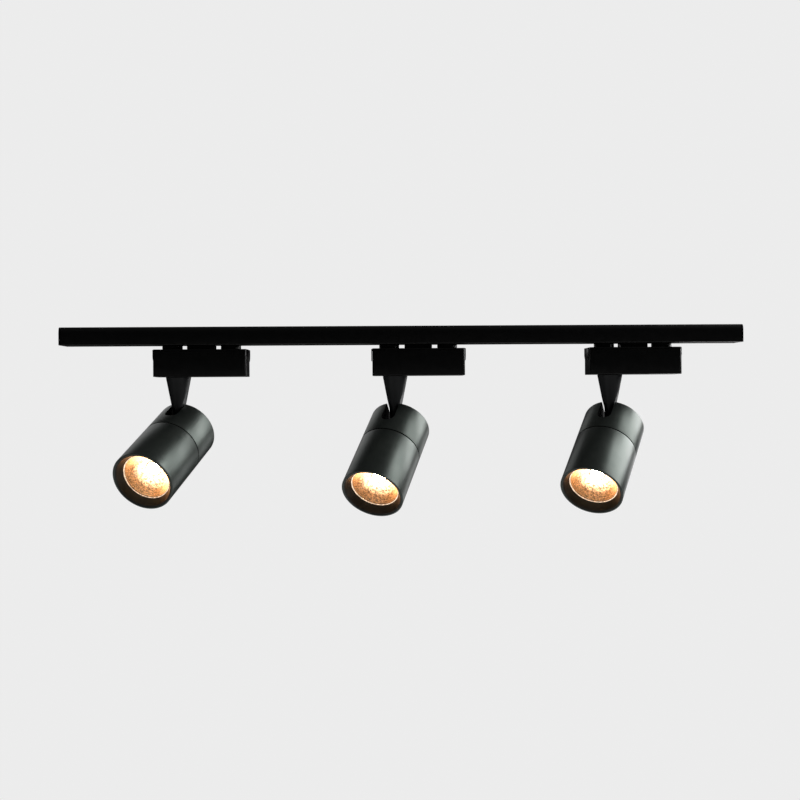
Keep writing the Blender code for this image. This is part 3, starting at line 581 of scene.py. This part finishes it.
# ---------------------------------------------------------------- rotors
SHAFT_RADIUS = 0.008
WING_THICKNESS = 0.0022
WING_EDGE = 0.0003
FLANGE_EDGE = 0.0005
TOWER_RADIUS = 0.0062
TOWER_HALF_SLOT = 0.012          # half length of the slot that holds the blades


def rotor_mesh(lamp, kind, with_tower):
    """Flange in the gap, wings above the track's lips and, on the contact rotor, a tower for the blades."""
    where = rotor_place(lamp, kind)
    low, high = measure(f"{kind}_rotor_{lamp}", where)
    track_low, _ = measure("track_profile")
    _, box_high = measure(f"adapter_housing_{lamp}")
    flange_radius = high.x
    flange_low = box_high.z + GAP + LID_THICKNESS + GAP
    flange_high = track_low.z - GAP
    wing_low = track_low.z + TRACK_LIP + GAP
    wing_high = wing_low + WING_THICKNESS
    middle = (wing_low + wing_high) / 2
    e = FLANGE_EDGE
    profile = [(0, middle), (SHAFT_RADIUS, middle), (SHAFT_RADIUS, flange_high),
               (flange_radius - e, flange_high), (flange_radius, flange_high - e),
               (flange_radius, flange_low + e), (flange_radius - e, flange_low),
               (SHAFT_RADIUS, flange_low), (SHAFT_RADIUS, low.z), (0, low.z)]
    body = turned(profile, MEDIUM)
    reach = high.y
    side_angle = math.degrees(math.asin(SHAFT_RADIUS / reach))
    wings = arc((0, 0), (reach, reach), 90 - side_angle, 90 + side_angle, 12)
    wings += arc((0, 0), (reach, reach), 270 - side_angle, 270 + side_angle, 12)
    body = join(body, softened(extruded(wings, wing_low, wing_high), WING_EDGE, 2, 50.0))
    if with_tower:
        blade_low, blade_high = measure(f"contact_blade_live_{lamp}", where)
        tower = turned([(0, high.z), (TOWER_RADIUS - e, high.z), (TOWER_RADIUS, high.z - e),
                        (TOWER_RADIUS, middle), (0, middle)], MEDIUM)
        body = join(body, tower)
        body = cut(body, block((blade_low.x - GAP, -TOWER_HALF_SLOT, blade_low.z - GAP),
                               (blade_high.x + GAP, TOWER_HALF_SLOT, blade_high.z + GAP)))
    return dress(body, "plastic")


# ---------------------------------------------------------------- stem
STEM_TOP_RADIUS = 0.0146
STEM_TAPER = 0.19
STEM_TIP_RADIUS = 0.0068
STEM_EDGE = 0.0006
NECK_RADIUS = 0.006
TONGUE_HALF = 0.0055             # half thickness of the tongue that the pin goes through
WEDGE_START = 0.0181             # below the box, where its flats begin
WEDGE_LENGTH = 0.021
WIRE_BORE_RADIUS = 0.0022
WIRE_BORE_DEPTH = 0.05
PIN_HOLE_RADIUS = 0.0026


def stem_mesh(lamp):
    """Cone under the driver box, flattened into a tongue round the tilt pin."""
    where = swivel_place(lamp)
    _, high = measure(f"stem_{lamp}", where)
    box_low, _ = measure(f"adapter_housing_{lamp}")
    axis = JOINTS[f"tilt_{lamp}"]["pos_m"][2]
    top = box_low.z - GAP
    cone_end = top - (STEM_TOP_RADIUS - STEM_TIP_RADIUS) / STEM_TAPER
    e = STEM_EDGE
    profile = [(0, high.z), (NECK_RADIUS, high.z), (NECK_RADIUS, top), (STEM_TOP_RADIUS - e, top)]
    profile += arc((STEM_TOP_RADIUS - e, top - e), (e, e), 90, 10, 4)
    profile += [(STEM_TIP_RADIUS, cone_end)]
    profile += arc((0, axis), (STEM_TIP_RADIUS, STEM_TIP_RADIUS), 0, -90, 10)
    body = turned(profile, FINE)
    wedge_top = box_low.z - WEDGE_START
    wedge_bottom = wedge_top - WEDGE_LENGTH
    wedge_half = STEM_TOP_RADIUS - STEM_TAPER * WEDGE_START
    far = 2 * STEM_TOP_RADIUS
    below = axis - 2 * STEM_TIP_RADIUS
    flats = []
    for side in (-1, 1):
        flat = [(wedge_half, wedge_top), (TONGUE_HALF, wedge_bottom), (TONGUE_HALF, below), (far, below),
                (far, wedge_top)]
        flats.append(extruded([(side * x, -z) for x, z in flat], -far, far, ACROSS_Y))
    pin = rod(PIN_HOLE_RADIUS, -far, far, COARSE, Matrix.Translation((0, 0, axis)) @ PIN_TURN)
    bore = rod(WIRE_BORE_RADIUS, high.z - WIRE_BORE_DEPTH, high.z + 0.01, COARSE)
    return dress(cut(body, *flats, pin, bore), "stem", 20.0)


# ---------------------------------------------------------------- head
HEAD_WALL = 0.0024
HEAD_BACK_WALL = 0.003
GROOVE_WIDTH = 0.0012
SEAM_EDGE = 0.00035              # broken edges on both sides of the groove
SLOT_HALF = 0.0081               # half width of the stem's slot
SLOT_END_CLEARANCE = 0.0008      # from the level stem to the slot's round end
CHEEK_THICKNESS = 0.0025
CHEEK_LENGTH = 0.034
BAFFLE_ROOT = 0.0277             # inner radius where the baffle meets the bowl
BAFFLE_LIP = 0.0006              # its thickness at the front
BOWL_THROAT = 0.0095
BOWL_WALL = 0.0010
BOWL_CURVE = 1.35                # above 1 puts more facet rows near the throat
CARRIER_THICKNESS = 0.0014
CARRIER_EDGE = 0.0003
GLOW_RADIUS = 0.0075
GLOW_EDGE = 0.0006
GLOW_LIFT = 0.00002              # keeps the glowing disc off its carrier


def rear_mesh(lamp):
    """Rear half of the head, with its hollow, the stem's slot and the cheeks that hold the tilt pin."""
    where = head_place(lamp)
    low, high = measure(f"rear_housing_{lamp}", where)
    barrel_low, barrel_high = measure(f"front_barrel_{lamp}", where)
    radius = barrel_high.x
    shoulder = barrel_low.z - GROOVE_WIDTH
    spigot = radius - HEAD_WALL - GAP
    e = SEAM_EDGE
    profile = [(0, high.z), (spigot, high.z), (spigot, shoulder), (radius - e, shoulder)]
    profile += arc((radius - e, shoulder - e), (e, e), 90, 0, 3)
    profile += arc((radius - BACK_EDGE, low.z + BACK_EDGE), (BACK_EDGE, BACK_EDGE), 0, -90, 6)
    profile += [(0, low.z)]
    body = turned(profile, FINE)
    hollow_radius = spigot - HEAD_WALL
    cheek = SLOT_HALF + CHEEK_THICKNESS
    hollow = rod(hollow_radius, low.z + HEAD_BACK_WALL, high.z + 0.005, FINE)
    solid = block((-cheek, -cheek, low.z), (cheek, radius, low.z + CHEEK_LENGTH))
    hollow = cut(hollow, solid)
    level_radius = STEM_TOP_RADIUS - STEM_TAPER * (stem_drop(lamp) - radius)
    slot_centre = level_radius + SLOT_END_CLEARANCE - SLOT_HALF
    slot_start = low.z - HEAD_BACK_WALL
    opening = [(SLOT_HALF, slot_start)] + arc((0, slot_centre), (SLOT_HALF, SLOT_HALF), 0, 180, 24)
    opening += [(-SLOT_HALF, slot_start)]
    cutters = [hollow, extruded([(x, -z) for x, z in opening], 0.0, 2 * radius, ACROSS_Y)]
    cutters.append(rod(SLOT_HALF, slot_start, low.z + CHEEK_LENGTH + HEAD_BACK_WALL, MEDIUM))
    cutters.append(rod(PIN_HOLE_RADIUS, -hollow_radius, hollow_radius, 24, PIN_TURN))
    mesh = dress(cut(body, *cutters), "head")
    mesh.materials.append(FINISHES["inside"])
    for face in mesh.polygons:
        inside = math.hypot(face.center.x, face.center.y) < radius - 2 * e
        if inside and face.center.z > low.z + BACK_EDGE:
            face.material_index = 1
    return mesh


def stem_drop(lamp):
    """Height of the stem's top above the tilt pin."""
    box_low, _ = measure(f"adapter_housing_{lamp}")
    return box_low.z - GAP - JOINTS[f"tilt_{lamp}"]["pos_m"][2]


def barrel_mesh(lamp):
    """Front half of the head, a plain tube with a rounded rim."""
    low, high = measure(f"front_barrel_{lamp}", head_place(lamp))
    radius = high.x
    inner = radius - HEAD_WALL
    e = SEAM_EDGE
    profile = [(inner + RIM_EDGE, high.z)]
    profile += arc((radius - RIM_EDGE, high.z - RIM_EDGE), (RIM_EDGE, RIM_EDGE), 90, 0, 4)
    profile += arc((radius - e, low.z + e), (e, e), 0, -90, 3)
    profile += [(inner, low.z), (inner, high.z - RIM_EDGE)]
    return dress(turned(profile, FINE, ring=True), "head")


def baffle_mesh(lamp):
    """The black cone between the bowl's mouth and the head's front edge."""
    low, high = measure(f"baffle_ring_{lamp}", head_place(lamp))
    outer = high.x
    profile = [(outer, high.z), (outer, low.z), (BAFFLE_ROOT, low.z), (outer - BAFFLE_LIP, high.z)]
    return dress(turned(profile, FINE, ring=True), "baffle", 40.0)


def reflector_mesh(lamp):
    """Bowl of revolution with rows of small pillow-shaped facets inside."""
    low, high = measure(f"reflector_{lamp}", head_place(lamp))
    mouth = high.x - BOWL_WALL
    depth = high.z - low.z
    rings = FACET_ROWS * FACET_STEPS
    around = FACETS_ROUND * FACET_STEPS

    def radius_at(share):
        return BOWL_THROAT + (mouth - BOWL_THROAT) * math.sqrt(share)

    bm = bmesh.new()
    rows = []
    for i in range(rings + 1):
        v = i / FACET_STEPS
        share = (i / rings) ** BOWL_CURVE
        row = []
        in_v = v - math.floor(v)
        shift = 0.5 if int(math.floor(v)) % 2 else 0.0
        for k in range(around):
            u = k / FACET_STEPS
            in_u = (u + shift) % 1.0
            pillow = FACET_PILLOW * 16 * in_u * (1 - in_u) * in_v * (1 - in_v)
            radius = radius_at(share) - pillow
            angle = 2 * math.pi * k / around
            row.append(bm.verts.new((radius * math.cos(angle), radius * math.sin(angle),
                                     low.z + depth * share)))
        rows.append(row)
    outer = []
    for share in (1.0, 0.6, 0.3, 0.1, 0.0):
        radius = radius_at(share) + BOWL_WALL
        outer.append([bm.verts.new((radius * math.cos(2 * math.pi * k / around),
                                    radius * math.sin(2 * math.pi * k / around), low.z + depth * share))
                      for k in range(around)])
    loops = rows + outer
    for first, second in zip(loops, loops[1:] + loops[:1]):
        for k in range(around):
            following = (k + 1) % around
            bm.faces.new((first[k], second[k], second[following], first[following]))
    bmesh.ops.recalc_face_normals(bm, faces=bm.faces)
    mesh = bpy.data.meshes.new("reflector")
    bm.to_mesh(mesh)
    bm.free()
    return dress(mesh, "bowl", 60.0)


def light_source_meshes(lamp):
    """The light source's carrier, and the glowing disc that sits in its ring."""
    low, high = measure(f"cob_module_{lamp}", head_place(lamp))
    base = high.x
    face = low.z + CARRIER_THICKNESS
    e = CARRIER_EDGE
    dam = [(GLOW_RADIUS + 0.0002, face), (GLOW_RADIUS + 0.0002, high.z),
           (GLOW_RADIUS + 0.001, high.z), (GLOW_RADIUS + 0.0013, face)]
    profile = [(0, face)] + dam + [(base - e, face), (base, face - e), (base, low.z), (0, low.z)]
    carrier = dress(turned(profile, MEDIUM), "carrier")
    bottom = face + GLOW_LIFT
    dome = [(0, high.z)]
    dome += arc((GLOW_RADIUS - GLOW_EDGE, bottom), (GLOW_EDGE, high.z - face - GLOW_LIFT), 90, 0, 4)
    dome += [(0, bottom)]
    return carrier, dress(turned(dome, MEDIUM), "phosphor")


# ---------------------------------------------------------------- assembly
make_track()
first = LAMPS[0]
HOUSING, LID = box_meshes(first)
CONTACT_ROTOR = rotor_mesh(first, "contact", True)
LOCK_ROTOR = rotor_mesh(first, "lock", False)
STEM = stem_mesh(first)
REAR = rear_mesh(first)
BARREL = barrel_mesh(first)
BAFFLE = baffle_mesh(first)
BOWL = reflector_mesh(first)
CARRIER, PHOSPHOR = light_source_meshes(first)

for lamp in LAMPS:
    box, head = box_place(lamp), head_place(lamp)
    adapter, top = f"adapter_{lamp}", f"head_{lamp}"
    place(f"housing_skin_{lamp}", HOUSING, box, adapter, "black_plastic", f"adapter_housing_{lamp}")
    place(f"lid_skin_{lamp}", LID, box, adapter, "black_plastic", f"adapter_cover_{lamp}")
    place(f"contact_rotor_skin_{lamp}", CONTACT_ROTOR, rotor_place(lamp, "contact"), f"contact_{lamp}",
          "black_plastic", f"contact_rotor_{lamp}")
    place(f"lock_rotor_skin_{lamp}", LOCK_ROTOR, rotor_place(lamp, "lock"), f"lock_{lamp}",
          "black_plastic", f"lock_rotor_{lamp}")
    place(f"stem_skin_{lamp}", STEM, swivel_place(lamp), f"swivel_{lamp}", "stem_paint", f"stem_{lamp}")
    place(f"rear_skin_{lamp}", REAR, head, top, "head_paint", f"rear_housing_{lamp}")
    place(f"barrel_skin_{lamp}", BARREL, head, top, "head_paint", f"front_barrel_{lamp}")
    place(f"baffle_skin_{lamp}", BAFFLE, head, top, "baffle_black", f"baffle_ring_{lamp}")
    place(f"bowl_{lamp}", BOWL, head, top, "reflector_chrome", f"reflector_{lamp}", level=False)
    place(f"carrier_{lamp}", CARRIER, head, top, "emitter", f"cob_module_{lamp}")
    place(f"phosphor_{lamp}", PHOSPHOR, head, top, "emitter")
    for name, finish in (("driver_board", "board"), ("contact_blade_live", "copper"),
                         ("contact_blade_neutral", "copper"), ("stem_nut", "steel"),
                         ("friction_washer", "steel"), ("tilt_pin", "steel"), ("heat_sink", "sink")):
        dress_node(f"{name}_{lamp}", finish)


# ---------------------------------------------------------------- stage, light and camera
FLOOR_LEVEL = -1.5


def make_stage():
    """A plain pale floor far below; it ends where the main view begins to look past it."""
    mesh = bpy.data.meshes.new("floor")
    points = [(x, y, FLOOR_LEVEL) for x, y in ((-4.0, -4.0), (4.0, -4.0), (4.0, 2.0), (-4.0, 2.0))]
    mesh.from_pydata(points, [], [(0, 1, 2, 3)])
    pale = Finish("pale_floor", Roughness=0.9, Emission_Strength=0.25)
    pale.mottle(0.8, 2.0, grey(0.74), grey(0.76))
    pale.shader.inputs["Emission Color"].default_value = (1.0, 1.0, 1.0, 1.0)
    pale.shader.inputs["Specular IOR Level"].default_value = 0.0
    mesh.materials.append(pale.material)
    linked("floor", mesh)


def area(name, position, target, size, power, colour=(1.0, 1.0, 1.0)):
    data = bpy.data.lights.new(name, "AREA")
    data.shape = "RECTANGLE"
    data.size, data.size_y = size
    data.energy = power
    data.color = colour
    lamp = linked(name, data)
    lamp.location = position
    lamp.rotation_euler = (Vector(target) - Vector(position)).to_track_quat("-Z", "Y").to_euler()
    lamp.visible_camera = False
    return lamp


BACKDROP = 0.84                  # brightness that the camera sees behind the object
FILL_AROUND = 0.012              # soft light from the room's sides and floor
FILL_ABOVE = 0.13                # and from its ceiling


def make_lights():
    world = bpy.data.worlds.new("studio")
    bpy.context.scene.world = world
    world.use_nodes = True
    background = world.node_tree.nodes["Background"]
    background.inputs["Color"].default_value = (1.0, 1.0, 1.0, 1.0)
    nodes, links = world.node_tree.nodes, world.node_tree.links
    direction = nodes.new("ShaderNodeTexCoord")
    axes = nodes.new("ShaderNodeSeparateXYZ")
    links.new(direction.outputs["Generated"], axes.inputs["Vector"])
    fill = nodes.new("ShaderNodeMapRange")
    fill.inputs["From Min"].default_value = 0.15
    fill.inputs["From Max"].default_value = 0.9
    fill.inputs["To Min"].default_value = FILL_AROUND
    fill.inputs["To Max"].default_value = FILL_ABOVE
    links.new(axes.outputs["Z"], fill.inputs["Value"])
    rays = nodes.new("ShaderNodeLightPath")
    level = nodes.new("ShaderNodeMapRange")
    level.inputs["To Max"].default_value = BACKDROP
    links.new(rays.outputs["Is Camera Ray"], level.inputs["Value"])
    links.new(fill.outputs["Result"], level.inputs["To Min"])
    links.new(level.outputs["Result"], background.inputs["Strength"])
    middle = (0.0, 0.0, -0.12)
    area("key_right", (1.40, 0.35, 0.62), middle, (1.4, 1.4), 46.0)
    area("back_right", (1.1, 1.4, -0.5), middle, (0.8, 0.6), 2.2)
    area("back_left", (-0.9, 1.5, 0.55), middle, (1.3, 1.0), 2.6)


def make_camera():
    data = bpy.data.cameras.new("view")
    data.lens = CAMERA_LENS
    data.sensor_width = 36.0
    data.clip_end = 30.0
    camera = linked("view", data)
    yaw, pitch, roll = (math.radians(v) for v in (CAMERA_YAW, CAMERA_PITCH, CAMERA_ROLL))
    ahead = Vector((math.sin(yaw) * math.cos(pitch), math.cos(yaw) * math.cos(pitch), math.sin(pitch)))
    side = Vector((math.cos(yaw), -math.sin(yaw), 0.0))
    up = side.cross(ahead)
    right = side * math.cos(roll) + up * math.sin(roll)
    top = right.cross(ahead)
    turn = Matrix((right, top, -ahead)).transposed().to_4x4()
    camera.matrix_world = Matrix.Translation(CAMERA_PLACE) @ turn
    bpy.context.scene.camera = camera


make_stage()
make_lights()
make_camera()
bpy.context.scene.view_settings.view_transform = "Standard"
